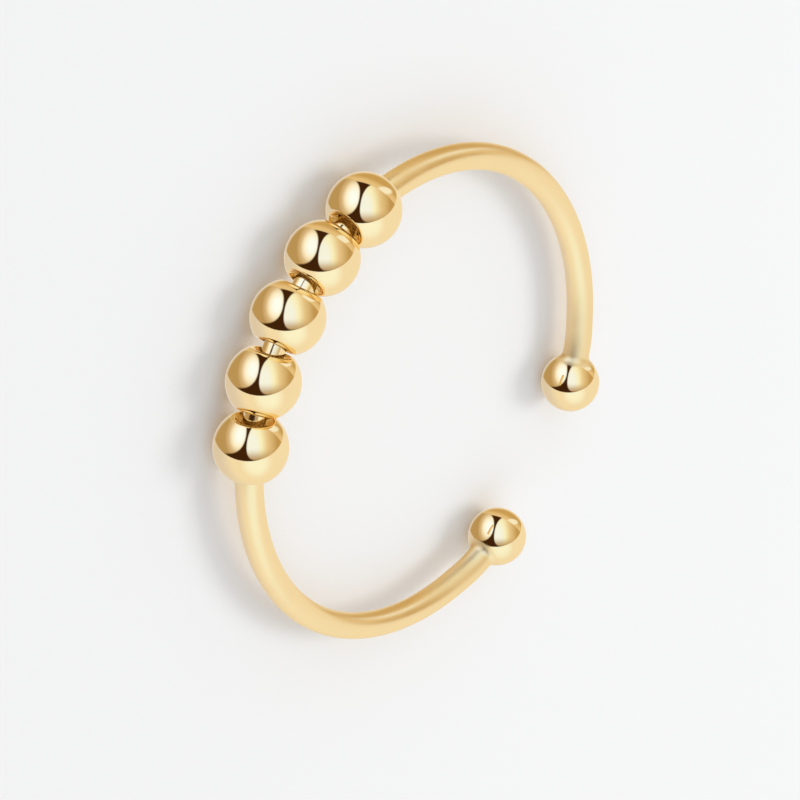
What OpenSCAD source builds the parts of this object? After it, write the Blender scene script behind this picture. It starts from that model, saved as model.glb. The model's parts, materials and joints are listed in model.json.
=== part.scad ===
// Open spinner ring: a round wire bent to a ring with a gap, a ball on each
// end, and five loose beads that spin on a thinner stretch of the wire.
// Millimetres. The ring lies on its side, beads to -Y, gap to +Y, +Z up,
// with the origin on the surface it rests on, under the middle of the part.

/* [Ring] */
// Radius of the ring, measured to the middle of its wire
ring_r = 9.75; // [9:0.05:11.5]
// Diameter of the wire on both sides
shank_d = 1.1; // [1:0.01:1.3]
// How much thinner the bead rail is than the wire, all round
shoulder_h = 0.08; // [0.07:0.01:0.15]

/* [Ends] */
// Diameter of the ball on each end of the wire
ball_d = 2.33; // [2:0.01:2.6]
// Clear width of the gap between the two balls
end_gap = 4.5; // [4.2:0.1:7]
// Length of the flared neck between the wire and its ball
neck_len = 0.7; // [0.4:0.05:1.2]
// Diameter of the neck where it runs into the ball
neck_root_d = 1.34; // [1.3:0.01:1.5]

/* [Beads] */
// Number of beads on the rail
bead_count = 5; // [3:1:6]
// Diameter of a bead
bead_d = 3; // [2.7:0.05:3.3]
// Width of the flat rim round each mouth of a bead
rim_w = 0.12; // [0.06:0.01:0.15]
// Depth of the countersink at each mouth
mouth_depth = 0.28; // [0.24:0.01:0.4]

/* [Clearances] */
// Clearance between the rail and a bead's bore, all round
bore_clear = 0.038; // [0.02:0.002:0.044]
// Clearance between the wire and the edge of a bead's mouth, all round
mouth_clear = 0.21; // [0.14:0.01:0.24]
// Clearance between the wire's shoulder and the last bead's countersink
seat_clear = 0.04; // [0.03:0.005:0.06]
// Clearance between neighbouring beads where they come closest
bead_gap = 0.04; // [0.03:0.005:0.2]

/* [Hidden] */
$fn = 96;
BEAD_NAMES = [for (k = [1 : bead_count]) str("bead_", k)];

ball_r = ball_d / 2;
bead_r = bead_d / 2;
shank_r = shank_d / 2;
rail_r = shank_r - shoulder_h;

// A bead is a ball cut flat at both mouths, with a countersink inside each rim
mouth_r = shank_r + mouth_clear;
face_r = mouth_r + rim_w;
bead_half = sqrt(bead_r * bead_r - face_r * face_r);
bore_half = bead_half - mouth_depth;
// Its straight bore lies around a curved rail, so the bead sits inwards by
// half of the rail's bow over the length of the bore
bead_shift = bore_half * bore_half / (4 * ring_r);
bead_ring_r = ring_r - bead_shift;
bore_r = rail_r + bead_shift + bore_clear;
bead_pitch = 2 * atan((bead_half + bead_gap / 2) / (bead_ring_r - face_r));

// Angles round the ring, measured from the middle of the beads. The shoulder
// stands in the last bead's countersink where that is wide enough for the wire
last_bead = bead_pitch * (bead_count - 1) / 2;
mouth_bow = ring_r - sqrt(ring_r * ring_r - bead_half * bead_half) - bead_shift;
seat_r = shank_r + mouth_bow + seat_clear;
seat_at = bore_half + (seat_r - bore_r) * mouth_depth / (mouth_r - bore_r);
shoulder_angle = last_bead + asin(seat_at / (ring_r - shank_r));
ball_angle = 180 - asin((end_gap / 2 + ball_r) / ring_r);

// The neck is a cone whose two ends are buried in the ball and in the wire.
// Both ends are given by their distance from the middle of the ball
neck_bury = 0.05;
neck_root_at = sqrt(pow(ball_r - neck_bury, 2) - pow(neck_root_d / 2, 2));
neck_tip_at = ball_r + neck_len;
neck_angle = ball_angle - 2 * asin((neck_root_at + neck_tip_at) / 4 / ring_r);

// The beads are larger than the end balls, so the ring lies a little tipped:
// it rests on the two outermost beads and on both balls
bead_y = -bead_ring_r * cos(last_bead);
ball_y = -ring_r * cos(ball_angle);
rest_tilt = asin((bead_r - ball_r) / (ball_y - bead_y));
ring_z = ball_r + ball_y * sin(rest_tilt);
// The middle of the part follows from its reach to the front and the back
front_bead = bead_count % 2 == 1 ? 0 : bead_pitch / 2;
front_reach = bead_ring_r * cos(front_bead) * cos(rest_tilt) + bead_r;
back_reach = ball_y * cos(rest_tilt) + ball_r;
ring_y = (front_reach - back_reach) / 2;

// Places its children in the plane of the ring as it rests
module in_ring_plane() {
  translate([0, ring_y, ring_z])
    rotate([-rest_tilt, 0, 0])
      children();
}

// Places its children on a circle of radius r, at an angle from the middle of
// the beads towards +X, with z along the wire and x pointing outwards
module on_ring(r, angle) {
  rotate([0, 0, angle - 90])
    translate([r, 0, 0])
      rotate([-90, 0, 0])
        children();
}

// Round wire of radius r, bent along the ring between two angles
module bent_wire(r, from, to) {
  rotate([0, 0, from - 90])
    rotate_extrude(angle = to - from)
      translate([ring_r, 0])
        circle(r);
}

// Ball end with its flared neck, on the +X side
module ball_end() {
  on_ring(ring_r, ball_angle)
    sphere(ball_r);
  on_ring(ring_r, neck_angle)
    cylinder(h = neck_tip_at - neck_root_at, r1 = shank_r - neck_bury, r2 = neck_root_d / 2,
             center = true);
}

// One shank of the ring, from its shoulder to its ball, on the +X side
module shank() {
  bent_wire(shank_r, shoulder_angle, ball_angle);
  ball_end();
}

// The whole wire: rail, two shanks and two ball ends, one piece of metal.
// The rail runs on inside both shanks
module band() {
  run_on = 1;
  color([0.85, 0.67, 0.36])
    in_ring_plane() {
      bent_wire(rail_r, -shoulder_angle - run_on, shoulder_angle + run_on);
      shank();
      mirror([1, 0, 0]) shank();
    }
}

// Cutter for the countersunk mouth on the +z side, run on past the mouth
module mouth() {
  translate([0, 0, bore_half])
    cylinder(h = 2 * mouth_depth, r1 = bore_r, r2 = 2 * mouth_r - bore_r);
}

// A drilled bead about its own middle, with its hole along z
module drilled_bead() {
  difference() {
    intersection() {
      sphere(bead_r);
      cylinder(h = 2 * bead_half, r = bead_d, center = true);
    }
    cylinder(h = bead_d, r = bore_r, center = true);
    mouth();
    mirror([0, 0, 1]) mouth();
  }
}

// Bead number k in its place, counted from the -X side
module bead(k) {
  color([0.87, 0.7, 0.4])
    in_ring_plane()
      on_ring(bead_ring_r, (k - (bead_count + 1) / 2) * bead_pitch)
        drilled_bead();
}

band();
for (k = [1 : bead_count])
  bead(k);
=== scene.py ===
import json
import math

import bpy
from mathutils import Matrix, Vector


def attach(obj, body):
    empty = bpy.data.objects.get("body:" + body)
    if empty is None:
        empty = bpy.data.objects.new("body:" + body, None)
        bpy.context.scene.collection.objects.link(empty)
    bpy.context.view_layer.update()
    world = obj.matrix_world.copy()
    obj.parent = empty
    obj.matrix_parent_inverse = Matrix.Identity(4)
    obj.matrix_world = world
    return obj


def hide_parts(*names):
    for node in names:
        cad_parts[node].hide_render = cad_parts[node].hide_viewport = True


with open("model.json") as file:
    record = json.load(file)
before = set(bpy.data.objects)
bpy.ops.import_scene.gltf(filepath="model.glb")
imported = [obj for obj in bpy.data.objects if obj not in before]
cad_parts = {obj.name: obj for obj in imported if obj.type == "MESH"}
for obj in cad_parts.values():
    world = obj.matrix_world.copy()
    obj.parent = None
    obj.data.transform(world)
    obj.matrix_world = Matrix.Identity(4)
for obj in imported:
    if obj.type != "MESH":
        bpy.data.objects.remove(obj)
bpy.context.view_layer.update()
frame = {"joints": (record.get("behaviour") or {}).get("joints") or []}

# The wire of the ring. One length of round brass wire, drawn a little thinner
# where the beads run, bent to an open ring, with a ball soldered on each end,
# gold plated as one piece. Its rail and balls are polished brightest.
MM = 0.001
RING_R = 9.75 * MM
RAIL_R = 0.47 * MM
SHOULDER_WIRE_R = 0.565 * MM
END_WIRE_R = 0.53 * MM
TAPER_SHARE = 0.6
SHOULDER_ANGLE = math.radians(38.47)
SHOULDER_RUN = 0.001 * MM
SHOULDER_ROUND = 0.04 * MM
BALL_R = 1.165 * MM
END_GAP = 4.5 * MM
NECK_FILLET = 0.35 * MM
RAIL_POLISH = 0.85
SHANK_POLISH = 0.35
SATIN_STARTS = 6 * MM
SATIN_FULL = 2.5 * MM
WIRE_SIDES = 64
WIRE_STEP = math.radians(0.75)
SHOULDER_STEPS = 6
NECK_STEPS = 14
BALL_STEPS = 44
BALL_BLEND_STEPS = 3
MERGE_WITHIN = 0.0001 * MM

# The ring lies a little tipped, on its outer beads and its end balls. Its
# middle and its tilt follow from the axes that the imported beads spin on.
spins = [joint for joint in frame["joints"] if joint["child"].startswith("bead_")]
spins.sort(key=lambda joint: joint["pos_m"][0])
outer, middle = spins[0], spins[len(spins) // 2]
ring_tilt = math.atan(-outer["axis"][2] / outer["axis"][1])
fan = Vector(outer["axis"]).angle(Vector(middle["axis"]))
chord = (Vector(outer["pos_m"]) - Vector(middle["pos_m"])).length
bead_ring_r = chord / (2 * math.sin(fan / 2))
ring_across = Vector((1, 0, 0))
ring_back = Vector((0, math.cos(ring_tilt), -math.sin(ring_tilt)))
ring_middle = Vector(middle["pos_m"]) + bead_ring_r * ring_back


def on_ring(angle):
    """A point of the ring's middle line, its angle measured from the middle bead towards +X."""
    return ring_middle + RING_R * (math.sin(angle) * ring_across - math.cos(angle) * ring_back)


def smooth_step(low, high, value):
    """Runs smoothly from 0 at low to 1 at high."""
    t = min(1.0, max(0.0, (value - low) / (high - low)))
    return t * t * (3 - 2 * t)


def wire_path():
    """Points along one half of the wire, from the middle of the rail to the far side of its
    ball, each with the radius of the wire there and its polish."""
    ball_angle = math.pi - math.asin((END_GAP / 2 + BALL_R) / RING_R)
    ball = on_ring(ball_angle)
    fillet_at = math.sqrt((BALL_R + NECK_FILLET) ** 2 - (END_WIRE_R + NECK_FILLET) ** 2)
    fillet_end = fillet_at * BALL_R / (BALL_R + NECK_FILLET)
    inwards = (on_ring(ball_angle - fillet_at / RING_R) - ball).normalized()
    straight_from = 0.7 * fillet_at
    curved_from = 2.2 * fillet_at
    path = []

    def wire_r(angle):
        along = (angle - SHOULDER_ANGLE) / (ball_angle - SHOULDER_ANGLE)
        taper = smooth_step(0, TAPER_SHARE, along)
        return SHOULDER_WIRE_R + taper * (END_WIRE_R - SHOULDER_WIRE_R)

    def near_ball(reach):
        """On the ring far from the ball, and on a straight line into it close by."""
        curved = on_ring(ball_angle - reach / RING_R)
        straight = ball + reach * inwards
        return curved.lerp(straight, smooth_step(curved_from, straight_from, reach))

    rail_steps = math.ceil(SHOULDER_ANGLE / WIRE_STEP)
    for i in range(rail_steps + 1):
        path.append((on_ring(SHOULDER_ANGLE * i / rail_steps), RAIL_R, RAIL_POLISH))
    for i in range(1, SHOULDER_STEPS + 1):
        turn = math.pi / 2 * i / SHOULDER_STEPS
        step_r = SHOULDER_WIRE_R - SHOULDER_ROUND * (1 - math.sin(turn))
        ahead = SHOULDER_RUN + SHOULDER_ROUND * (1 - math.cos(turn))
        path.append((on_ring(SHOULDER_ANGLE + ahead / RING_R), step_r, SHANK_POLISH))
    first = SHOULDER_ANGLE + 2 * SHOULDER_ROUND / RING_R
    last = ball_angle - fillet_at / RING_R
    steps = math.ceil((last - first) / WIRE_STEP)
    for i in range(steps + 1):
        angle = first + (last - first) * i / steps
        reach = (ball_angle - angle) * RING_R
        polish = SHANK_POLISH * smooth_step(SATIN_FULL, SATIN_STARTS, reach)
        path.append((near_ball(reach), wire_r(angle), polish))
    for i in range(1, NECK_STEPS):
        reach = fillet_at - (fillet_at - fillet_end) * i / NECK_STEPS
        waist = END_WIRE_R + NECK_FILLET - math.sqrt(NECK_FILLET**2 - (fillet_at - reach) ** 2)
        path.append((near_ball(reach), waist, 0))
    start = math.acos(fillet_end / BALL_R)
    for i in range(BALL_STEPS + 1):
        turn = start + (math.pi - start) * i / BALL_STEPS
        polish = smooth_step(0, BALL_BLEND_STEPS, i)
        path.append((near_ball(BALL_R * math.cos(turn)), BALL_R * math.sin(turn), polish))
    return path


def path_mesh(name, points, closed=False, **values):
    """A chain of edges, with the named values at each of its points."""
    mesh = bpy.data.meshes.new(name)
    edges = [(i, i + 1) for i in range(len(points) - 1)]
    if closed:
        edges.append((len(points) - 1, 0))
    mesh.from_pydata(points, edges, [])
    for label, numbers in values.items():
        mesh.attributes.new(label, "FLOAT", "POINT").data.foreach_set("value", numbers)
    return mesh


def new_tree(name, sockets, result):
    """An empty Geometry Nodes tree with the named inputs, and its two end nodes."""
    tree = bpy.data.node_groups.new(name, "GeometryNodeTree")
    for label, kind in sockets:
        tree.interface.new_socket(label, in_out="INPUT", socket_type=kind)
    tree.interface.new_socket(result, in_out="OUTPUT", socket_type="NodeSocketGeometry")
    return tree, tree.nodes.new("NodeGroupInput"), tree.nodes.new("NodeGroupOutput")


def finish_tree(tree, inputs, output, shape):
    """Closes the poles, smooths, realizes and gives the metal, as every tree here ends."""
    merge = tree.nodes.new("GeometryNodeMergeByDistance")
    merge.inputs["Distance"].default_value = MERGE_WITHIN
    smooth = tree.nodes.new("GeometryNodeSetShadeSmooth")
    realize = tree.nodes.new("GeometryNodeRealizeInstances")
    metal = tree.nodes.new("GeometryNodeSetMaterial")
    tree.links.new(shape, merge.inputs["Geometry"])
    tree.links.new(merge.outputs["Geometry"], smooth.inputs["Geometry"])
    tree.links.new(smooth.outputs["Geometry"], realize.inputs["Geometry"])
    tree.links.new(realize.outputs["Geometry"], metal.inputs["Geometry"])
    tree.links.new(inputs.outputs["Metal"], metal.inputs["Material"])
    tree.links.new(metal.outputs["Geometry"], output.inputs[0])


def made_by(tree, name, mesh, **values):
    """A piece with the plain mesh that the tree makes of a starting mesh and named inputs."""
    piece = bpy.data.objects.new(name, mesh)
    bpy.context.scene.collection.objects.link(piece)
    modifier = piece.modifiers.new(tree.name, "NODES")
    modifier.node_group = tree
    for item in tree.interface.items_tree:
        if item.in_out == "INPUT" and item.name in values:
            modifier[item.identifier] = values[item.name]
    made = piece.evaluated_get(bpy.context.evaluated_depsgraph_get())
    plain = bpy.data.meshes.new_from_object(made)
    piece.modifiers.clear()
    piece.data = plain
    plain.name = name
    return piece


def sweep_tree():
    """Sweeps a round section along a path, as thick at each point as its wire_radius says."""
    sockets = [
        ("Path", "NodeSocketGeometry"),
        ("Sides", "NodeSocketInt"),
        ("Metal", "NodeSocketMaterial"),
    ]
    tree, inputs, output = new_tree("sweep_wire", sockets, "Wire")
    path = tree.nodes.new("GeometryNodeMeshToCurve")
    named = tree.nodes.new("GeometryNodeInputNamedAttribute")
    named.data_type = "FLOAT"
    named.inputs["Name"].default_value = "wire_radius"
    section = tree.nodes.new("GeometryNodeCurvePrimitiveCircle")
    section.inputs["Radius"].default_value = 1.0
    sweep = tree.nodes.new("GeometryNodeCurveToMesh")
    tree.links.new(inputs.outputs["Path"], path.inputs[0])
    tree.links.new(inputs.outputs["Sides"], section.inputs["Resolution"])
    tree.links.new(path.outputs[0], sweep.inputs["Curve"])
    tree.links.new(section.outputs["Curve"], sweep.inputs["Profile Curve"])
    tree.links.new(named.outputs["Attribute"], sweep.inputs["Scale"])
    finish_tree(tree, inputs, output, sweep.outputs[0])
    return tree


GOLD = (1.0, 0.77, 0.40)
GOLD_RIM_TINT = (1.0, 0.93, 0.76, 1)
HAZE_SHADE = 0.97
HAZE_DULLS = (0.9, 1.2)
RIPPLE_FINENESS = 14
RIPPLE_HEIGHT = 0.002 * MM


def gold(name, satin, mirror, scratch, haze_scale):
    """Gold plating with faint haze and a slight ripple. Its roughness runs from satin where
    the piece's polish is 0 to mirror where it is 1."""
    material = bpy.data.materials.new(name)
    material.use_nodes = True
    nodes, links = material.node_tree.nodes, material.node_tree.links
    shader = nodes["Principled BSDF"]
    shader.inputs["Metallic"].default_value = 1.0
    shader.inputs["Specular Tint"].default_value = GOLD_RIM_TINT
    place = nodes.new("ShaderNodeTexCoord")
    haze = nodes.new("ShaderNodeTexNoise")
    haze.inputs["Scale"].default_value = haze_scale
    haze.inputs["Detail"].default_value = 4.0
    tone = nodes.new("ShaderNodeValToRGB")
    tone.color_ramp.elements[0].position = 0.3
    tone.color_ramp.elements[1].position = 0.7
    tone.color_ramp.elements[0].color = (*(HAZE_SHADE * c for c in GOLD), 1)
    tone.color_ramp.elements[1].color = (*GOLD, 1)
    dull = nodes.new("ShaderNodeMapRange")
    dull.inputs["From Min"].default_value = 0.35
    dull.inputs["From Max"].default_value = 0.75
    dull.inputs["To Min"].default_value = HAZE_DULLS[0]
    dull.inputs["To Max"].default_value = HAZE_DULLS[1]
    polish = nodes.new("ShaderNodeAttribute")
    polish.attribute_name = "polish"
    grade = nodes.new("ShaderNodeMapRange")
    grade.inputs["To Min"].default_value = satin
    grade.inputs["To Max"].default_value = mirror
    finish = nodes.new("ShaderNodeMath")
    finish.operation = "MULTIPLY"
    hairs = nodes.new("ShaderNodeTexNoise")
    hairs.inputs["Scale"].default_value = haze_scale * RIPPLE_FINENESS
    hairs.inputs["Detail"].default_value = 3.0
    bump = nodes.new("ShaderNodeBump")
    bump.inputs["Strength"].default_value = scratch
    bump.inputs["Distance"].default_value = RIPPLE_HEIGHT
    links.new(place.outputs["Object"], haze.inputs["Vector"])
    links.new(haze.outputs["Fac"], tone.inputs["Fac"])
    links.new(haze.outputs["Fac"], dull.inputs["Value"])
    links.new(place.outputs["Object"], hairs.inputs["Vector"])
    links.new(hairs.outputs["Fac"], bump.inputs["Height"])
    links.new(tone.outputs["Color"], shader.inputs["Base Color"])
    links.new(polish.outputs["Fac"], grade.inputs["Value"])
    links.new(dull.outputs["Result"], finish.inputs[0])
    links.new(grade.outputs["Result"], finish.inputs[1])
    links.new(finish.outputs[0], shader.inputs["Roughness"])
    links.new(bump.outputs["Normal"], shader.inputs["Normal"])
    return material


half = wire_path()
other = [(point - 2 * point.x * ring_across, *rest) for point, *rest in half[:0:-1]]
points, radii, polish = zip(*(other + half))
wire_gold = gold("wire_gold", satin=0.45, mirror=0.05, scratch=0.06, haze_scale=900)
band = made_by(
    sweep_tree(),
    "polished_wire",
    path_mesh("wire_path", points, wire_radius=radii, polish=polish),
    Sides=WIRE_SIDES,
    Metal=wire_gold,
)
band.visible_glossy = False
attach(band, "band")
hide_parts("band")

# The five spinner beads. Each is turned from brass, drilled, countersunk and
# rounded at both mouths, and mirror polished outside before plating. They are
# loose on the rail, held between the two shoulders of the wire.
BEAD_R = 1.5 * MM
BEAD_HALF = 1.2147 * MM
BORE_R = 0.5304 * MM
MOUTH_R = 0.76 * MM
MOUTH_DEPTH = 0.28 * MM
RIM_ROUND = 0.16 * MM
MOUTH_ROUND = 0.07 * MM
BORE_ROUND = 0.05 * MM
SATIN_MOUTH_R = 0.9 * MOUTH_R
POLISHED_RIM_R = 1.1 * MOUTH_R
BEAD_SIDES = 112
BORE_EDGE_STEPS = 4
MOUTH_EDGE_STEPS = 7
RIM_STEPS = 8
BEAD_STEPS = 30
LATHE_R = 1.0 * MM


def rounded(before, corner, after, radius, steps):
    """The corner of an outline replaced by an arc of this radius."""
    to_before, to_after = (before - corner).normalized(), (after - corner).normalized()
    half_angle = to_before.angle(to_after) / 2
    middle_way = (to_before + to_after).normalized()
    centre = corner + middle_way * (radius / math.sin(half_angle))
    first = corner + to_before * (radius / math.tan(half_angle)) - centre
    last = corner + to_after * (radius / math.tan(half_angle)) - centre
    sweep = first.angle(last)
    points = []
    for i in range(steps + 1):
        t = i / steps
        weight = math.sin((1 - t) * sweep), math.sin(t * sweep)
        points.append(centre + (first * weight[0] + last * weight[1]) / math.sin(sweep))
    return points


def bead_outline():
    """The bead's section on one side of its hole: distance from the axis, place along it."""
    bore = Vector((BORE_R, 0.0))
    seat = Vector((BORE_R, BEAD_HALF - MOUTH_DEPTH))
    mouth = Vector((MOUTH_R, BEAD_HALF))
    edge = math.sqrt((BEAD_R - RIM_ROUND) ** 2 - (BEAD_HALF - RIM_ROUND) ** 2)
    rim_centre = Vector((edge, BEAD_HALF - RIM_ROUND))
    rim_end = math.atan2(rim_centre.y, rim_centre.x)
    points = [bore, (bore + seat) / 2]
    points += rounded(bore, seat, mouth, BORE_ROUND, BORE_EDGE_STEPS)
    points += [seat.lerp(mouth, t) for t in (0.4, 0.65)]
    points += rounded(seat, mouth, Vector((edge, BEAD_HALF)), MOUTH_ROUND, MOUTH_EDGE_STEPS)
    for i in range(RIM_STEPS + 1):
        turn = math.pi / 2 + (rim_end - math.pi / 2) * i / RIM_STEPS
        points.append(rim_centre + RIM_ROUND * Vector((math.cos(turn), math.sin(turn))))
    for i in range(1, BEAD_STEPS + 1):
        turn = rim_end * (1 - i / BEAD_STEPS)
        points.append(BEAD_R * Vector((math.cos(turn), math.sin(turn))))
    lower = [Vector((point.x, -point.y)) for point in points[-2:0:-1]]
    return points + lower


def lathe_tree():
    """Turns a closed outline round the hole's axis and threads the result on the rail."""
    sockets = [
        ("Outline", "NodeSocketGeometry"),
        ("Sides", "NodeSocketInt"),
        ("Middle", "NodeSocketVector"),
        ("Turn", "NodeSocketVector"),
        ("Metal", "NodeSocketMaterial"),
    ]
    tree, inputs, output = new_tree("turn_bead", sockets, "Bead")
    outline = tree.nodes.new("GeometryNodeMeshToCurve")
    round_path = tree.nodes.new("GeometryNodeCurvePrimitiveCircle")
    round_path.inputs["Radius"].default_value = LATHE_R
    sweep = tree.nodes.new("GeometryNodeCurveToMesh")
    thread = tree.nodes.new("GeometryNodeTransform")
    tree.links.new(inputs.outputs["Outline"], outline.inputs[0])
    tree.links.new(inputs.outputs["Sides"], round_path.inputs["Resolution"])
    tree.links.new(round_path.outputs["Curve"], sweep.inputs["Curve"])
    tree.links.new(outline.outputs[0], sweep.inputs["Profile Curve"])
    tree.links.new(sweep.outputs[0], thread.inputs["Geometry"])
    tree.links.new(inputs.outputs["Middle"], thread.inputs["Translation"])
    tree.links.new(inputs.outputs["Turn"], thread.inputs["Rotation"])
    finish_tree(tree, inputs, output, thread.outputs["Geometry"])
    return tree


bead_gold = gold("bead_gold", satin=0.22, mirror=0.03, scratch=0.12, haze_scale=1100)
turn_bead = lathe_tree()
section = bead_outline()[::-1]
outline = [(point.x - LATHE_R, point.y, 0) for point in section]
polish = [smooth_step(SATIN_MOUTH_R, POLISHED_RIM_R, point.x) for point in section]
for joint in spins:
    axis = Vector(joint["axis"])
    piece = made_by(
        turn_bead,
        "polished_" + joint["child"],
        path_mesh("bead_outline", outline, closed=True, polish=polish),
        Sides=BEAD_SIDES,
        Middle=joint["pos_m"],
        Turn=axis.to_track_quat("Z", "Y").to_euler(),
        Metal=bead_gold,
    )
    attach(piece, joint["child"])
    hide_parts(joint["child"])

# The camera looks down on the ring from the front, over the beads, through a
# long lens, and is rolled so that the row of beads climbs to the right.
CAMERA_AZIMUTH = math.radians(4.14)
CAMERA_ELEVATION = math.radians(37.24)
CAMERA_ROLL = math.radians(112.93)
CAMERA_DISTANCE = 487.5 * MM
CAMERA_LENS = 557
RING_RIGHT_OF_CENTRE = 0.653 * MM
RING_ABOVE_CENTRE = 0.33 * MM

to_camera = Vector(
    (
        math.sin(CAMERA_AZIMUTH) * math.cos(CAMERA_ELEVATION),
        -math.cos(CAMERA_AZIMUTH) * math.cos(CAMERA_ELEVATION),
        math.sin(CAMERA_ELEVATION),
    )
)
level_right = Vector((0, 0, 1)).cross(to_camera).normalized()
level_up = to_camera.cross(level_right)
picture_right = math.cos(CAMERA_ROLL) * level_right + math.sin(CAMERA_ROLL) * level_up
picture_up = to_camera.cross(picture_right)
camera = bpy.data.objects.new("camera", bpy.data.cameras.new("camera"))
camera.data.lens = CAMERA_LENS
camera.data.clip_start = 10 * MM
camera.matrix_world = Matrix.Translation(
    ring_middle
    + to_camera * CAMERA_DISTANCE
    - picture_right * RING_RIGHT_OF_CENTRE
    - picture_up * RING_ABOVE_CENTRE
) @ Matrix((picture_right, picture_up, to_camera)).transposed().to_4x4()
bpy.context.scene.collection.objects.link(camera)
bpy.context.scene.camera = camera

# The table: a plain pale sheet under the ring.
TABLE_HALF = 1.5
PAPER_COLOUR = (0.905, 0.86, 0.78, 1)
PAPER_ROUGHNESS = 0.9
table_mesh = bpy.data.meshes.new("table")
corners = [(x * TABLE_HALF, y * TABLE_HALF, 0) for x, y in ((-1, -1), (1, -1), (1, 1), (-1, 1))]
table_mesh.from_pydata(corners, [], [(0, 1, 2, 3)])
table = bpy.data.objects.new("table", table_mesh)
bpy.context.scene.collection.objects.link(table)
paper = bpy.data.materials.new("pale_paper")
paper.use_nodes = True
paper_shader = paper.node_tree.nodes["Principled BSDF"]
paper_shader.inputs["Base Color"].default_value = PAPER_COLOUR
paper_shader.inputs["Roughness"].default_value = PAPER_ROUGHNESS
table_mesh.materials.append(paper)
table.visible_glossy = False
table.visible_shadow = False

# One soft lamp high behind the ring on its left. It lights the table and casts
# the ring's shadow; the metal doesn't mirror it.
LAMP_AWAY = 400 * MM
LAMP_SIZE = 180 * MM
LAMP_WATTS = 0.5
LAMP_COLOUR = (0.84, 0.9, 1.0)
LAMP_WAY = (-0.57, 0.82, 1.3)
lamp_way = Vector(LAMP_WAY).normalized()
lamp = bpy.data.objects.new("lamp", bpy.data.lights.new("lamp", "AREA"))
lamp.data.size = LAMP_SIZE
lamp.data.energy = LAMP_WATTS
lamp.data.color = LAMP_COLOUR
lamp_turn = lamp_way.to_track_quat("Z", "Y").to_matrix().to_4x4()
lamp.matrix_world = Matrix.Translation(LAMP_AWAY * lamp_way) @ lamp_turn
lamp.visible_glossy = False
bpy.context.scene.collection.objects.link(lamp)

# The studio round the ring: two tall soft boxes with a dark gap between them,
# a warm ceiling above their tops and a bright sheet below. Each part is placed
# where a polished ball would mirror it, 0 in its middle and 1 at its rim.
world = bpy.data.worlds.new("studio")
bpy.context.scene.world = world
world.use_nodes = True
sky = world.node_tree
sky.nodes.clear()


def math_node(operation, *values):
    """A Math node fed with sockets or plain numbers."""
    node = sky.nodes.new("ShaderNodeMath")
    node.operation = operation
    for socket, value in zip(node.inputs, values):
        if isinstance(value, (int, float)):
            socket.default_value = value
        else:
            sky.links.new(value, socket)
    return node.outputs[0]


def along(direction, axis):
    """How far a direction points along an axis."""
    node = sky.nodes.new("ShaderNodeVectorMath")
    node.operation = "DOT_PRODUCT"
    sky.links.new(direction, node.inputs[0])
    node.inputs[1].default_value = axis
    return node.outputs["Value"]


def ramp(value, low, high):
    """Rises smoothly from 0 at low to 1 at high."""
    node = sky.nodes.new("ShaderNodeMapRange")
    node.interpolation_type = "SMOOTHSTEP"
    sky.links.new(value, node.inputs["Value"])
    node.inputs["From Min"].default_value = low
    node.inputs["From Max"].default_value = high
    return node.outputs["Result"]


def oval(middle, half_size, square=2.0, lean=0.0):
    """A field that is 1 on the outline of an oval and less inside it."""
    up = math_node("SUBTRACT", ball_up, middle[1])
    across = math_node("SUBTRACT", ball_across, middle[0])
    across = math_node("SUBTRACT", across, math_node("MULTIPLY", up, lean))
    across = math_node("ABSOLUTE", math_node("DIVIDE", across, half_size[0]))
    up = math_node("ABSOLUTE", math_node("DIVIDE", up, half_size[1]))
    return math_node("ADD", math_node("POWER", across, square), math_node("POWER", up, square))


def inside(field, softness):
    """1 inside the outline of an oval and 0 outside it, with a soft edge."""
    return ramp(field, 1 + softness, 1 - softness)


def outside(field, softness):
    """0 inside the outline of an oval and 1 outside it, with a soft edge."""
    return ramp(field, 1 - softness, 1 + softness)


def tones(value, stops):
    """Runs through the light colours of a list of (value, colour) stops."""
    node = sky.nodes.new("ShaderNodeValToRGB")
    elements = node.color_ramp.elements
    while len(elements) < len(stops):
        elements.new(1.0)
    for element, (position, colour) in zip(elements, stops):
        element.position = position
        element.color = (*colour, 1)
    sky.links.new(value, node.inputs["Fac"])
    return node.outputs["Color"]


def mixed(below, above, mask):
    """One colour laid over another where the mask is 1."""
    node = sky.nodes.new("ShaderNodeMix")
    node.data_type = "RGBA"
    sockets = [socket for socket in node.inputs if socket.type == "RGBA"]
    for socket, value in zip(sockets, (below, above)):
        if isinstance(value, tuple):
            socket.default_value = (*value, 1)
        else:
            sky.links.new(value, socket)
    sky.links.new(mask, node.inputs["Factor"])
    return next(socket for socket in node.outputs if socket.type == "RGBA")


# Where on a polished ball the camera sees each direction mirrored
LEAST_SPREAD = 0.0001
toward = sky.nodes.new("ShaderNodeTexCoord").outputs["Generated"]
spread = math_node("ADD", along(toward, 2 * to_camera), 2)
spread = math_node("SQRT", math_node("MAXIMUM", spread, LEAST_SPREAD))
ball_across = math_node("DIVIDE", along(toward, picture_right), spread)
ball_up = math_node("DIVIDE", along(toward, picture_up), spread)

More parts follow.
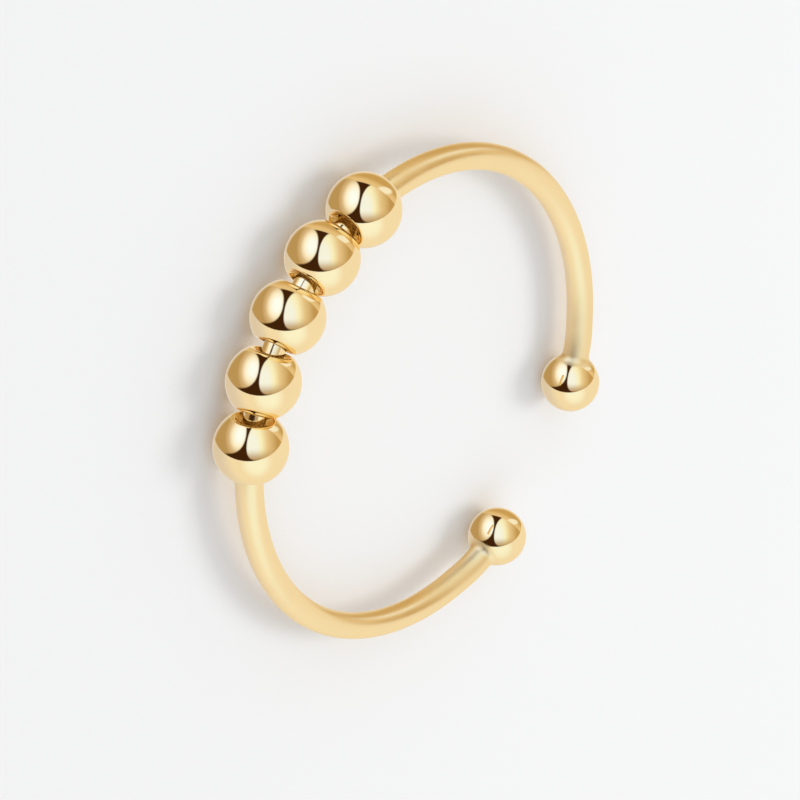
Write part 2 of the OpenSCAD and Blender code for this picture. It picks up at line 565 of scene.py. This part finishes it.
# Where the parts stand on the polished ball, and how far they reach. Each fade
# runs from where a change starts to where it is complete.
RIGHT_BOX_AT = (0.215, 0.165)
RIGHT_BOX_HALF = (0.30, 0.49)
RIGHT_BOX_LEAN = 0.17
RIGHT_BOX_SIDE_FADE = (0.2, 0.24)
RIGHT_BOX_FOOT_FADE = (0.0, -0.34)
RIGHT_HOT_SPOT = (0.035, 0.035)
RIGHT_HOT_SPOT_HALF = (1, 2.2)
LEFT_BOX_AT = (-0.50, 0.33)
LEFT_BOX_HALF = (0.38, 0.48)
LEFT_BOX_LEAN = 0.13
LEFT_HOT_SPOT = (-0.27, 0.32)
LEFT_HOT_SPOT_HALF = (0.40, 0.62)
LEFT_HOT_SPOT_LEAN = 0.1
BOX_CORNERS = 2.35
BOX_SOFTNESS = 0.14
GAP_FADE = (-0.85, -0.55)
TOPS_AT = (-0.40, -0.73)
TOPS_R = 1.48
TOPS_SOFTNESS = 0.015
CEILING_FADE = (1.07, 1.26)
CEILING_LAMP_AT = (0.54, 0.50)
CEILING_LAMP_HALF = (0.17, 0.10)
CEILING_LAMP_LEAN = -0.6
CEILING_LAMP_FADE = (1.5, 0.4)
SHEET_GLOW_AT = (0.14, -0.39)
SHEET_GLOW_R = 0.45
SHEET_GLOW_FADE = (0.02, 1.0)
SHEET_SHADE_SIDE = (-0.75, -0.66)
SHEET_SHADE_FADE = (0.35, 1.0)
SHEET_EDGE_AT = (-0.055, 0.35)
SHEET_EDGE_HALF = (0.89, 0.706)
SHEET_SOFTNESS = 0.025
BEHIND_FADE = (-0.68, -0.93)

# Light colours. Each soft box is bluish white in its hot spot and falls off to a
# warm side.
GAP = (0.05, 0.02, 0.006)
BOX_FOOT = (0.52, 0.42, 0.32)
RIGHT_BOX = [
    (0.12, (0.94, 1.18, 1.8)),
    (0.25, (0.97, 1.12, 1.2)),
    (0.4, (0.82, 0.74, 0.6)),
    (0.65, (0.55, 0.4, 0.2)),
]
LEFT_BOX = [
    (0.04, (1.0, 1.3, 2.1)),
    (0.24, (1.0, 1.1, 1.35)),
    (0.54, (0.7, 0.6, 0.5)),
    (0.98, (0.5, 0.38, 0.22)),
]
LEFT_BOX_SIDE = (0.5, 0.38, 0.22)
CEILING_NEAR = (0.8, 0.68, 0.5)
CEILING_FAR = (0.6, 0.44, 0.22)
CEILING_LAMP = (0.95, 1.05, 1.25)
SHEET_NEAR = (0.98, 1.16, 1.4)
SHEET_FAR = (0.92, 0.92, 0.95)
SHEET_SHADED = (0.74, 0.76, 0.95)

right_box = tones(math_node("SQRT", oval(RIGHT_HOT_SPOT, RIGHT_HOT_SPOT_HALF)), RIGHT_BOX)
right_box = mixed(right_box, BOX_FOOT, ramp(ball_up, *RIGHT_BOX_FOOT_FADE))
in_right_box = inside(oval(RIGHT_BOX_AT, RIGHT_BOX_HALF, BOX_CORNERS, RIGHT_BOX_LEAN), BOX_SOFTNESS)
in_right_box = math_node("MAXIMUM", in_right_box, ramp(ball_across, *RIGHT_BOX_SIDE_FADE))
between = mixed(LEFT_BOX_SIDE, GAP, ramp(ball_across, *GAP_FADE))
studio = mixed(between, right_box, in_right_box)

over_boxes = oval(TOPS_AT, (TOPS_R, TOPS_R))
ceiling = mixed(CEILING_NEAR, CEILING_FAR, ramp(over_boxes, *CEILING_FADE))
lamp_spot = oval(CEILING_LAMP_AT, CEILING_LAMP_HALF, lean=CEILING_LAMP_LEAN)
ceiling = mixed(ceiling, CEILING_LAMP, ramp(lamp_spot, *CEILING_LAMP_FADE))
studio = mixed(studio, ceiling, outside(over_boxes, TOPS_SOFTNESS))

left_box = tones(oval(LEFT_HOT_SPOT, LEFT_HOT_SPOT_HALF, lean=LEFT_HOT_SPOT_LEAN), LEFT_BOX)
in_left_box = inside(oval(LEFT_BOX_AT, LEFT_BOX_HALF, BOX_CORNERS, LEFT_BOX_LEAN), BOX_SOFTNESS)
studio = mixed(studio, left_box, in_left_box)

sheet_glow = oval(SHEET_GLOW_AT, (SHEET_GLOW_R, SHEET_GLOW_R))
sheet = mixed(SHEET_NEAR, SHEET_FAR, ramp(sheet_glow, *SHEET_GLOW_FADE))
shaded_way = SHEET_SHADE_SIDE[0] * picture_right + SHEET_SHADE_SIDE[1] * to_camera
sheet = mixed(sheet, SHEET_SHADED, ramp(along(toward, shaded_way), *SHEET_SHADE_FADE))
in_sheet = outside(oval(SHEET_EDGE_AT, SHEET_EDGE_HALF), SHEET_SOFTNESS)
in_sheet = math_node("MAXIMUM", in_sheet, ramp(along(toward, to_camera), *BEHIND_FADE))
studio = mixed(studio, sheet, in_sheet)

# The camera itself sees a plain pale backdrop in place of the studio
BACKDROP = (0.9, 0.9, 0.9, 1)
background = sky.nodes.new("ShaderNodeBackground")
sky.links.new(studio, background.inputs["Color"])
backdrop = sky.nodes.new("ShaderNodeBackground")
backdrop.inputs["Color"].default_value = BACKDROP
rays = sky.nodes.new("ShaderNodeLightPath")
seen = sky.nodes.new("ShaderNodeMixShader")
sky.links.new(rays.outputs["Is Camera Ray"], seen.inputs["Fac"])
sky.links.new(background.outputs[0], seen.inputs[1])
sky.links.new(backdrop.outputs[0], seen.inputs[2])
sky.links.new(seen.outputs[0], sky.nodes.new("ShaderNodeOutputWorld").inputs["Surface"])

bpy.context.scene.view_settings.view_transform = "Standard"
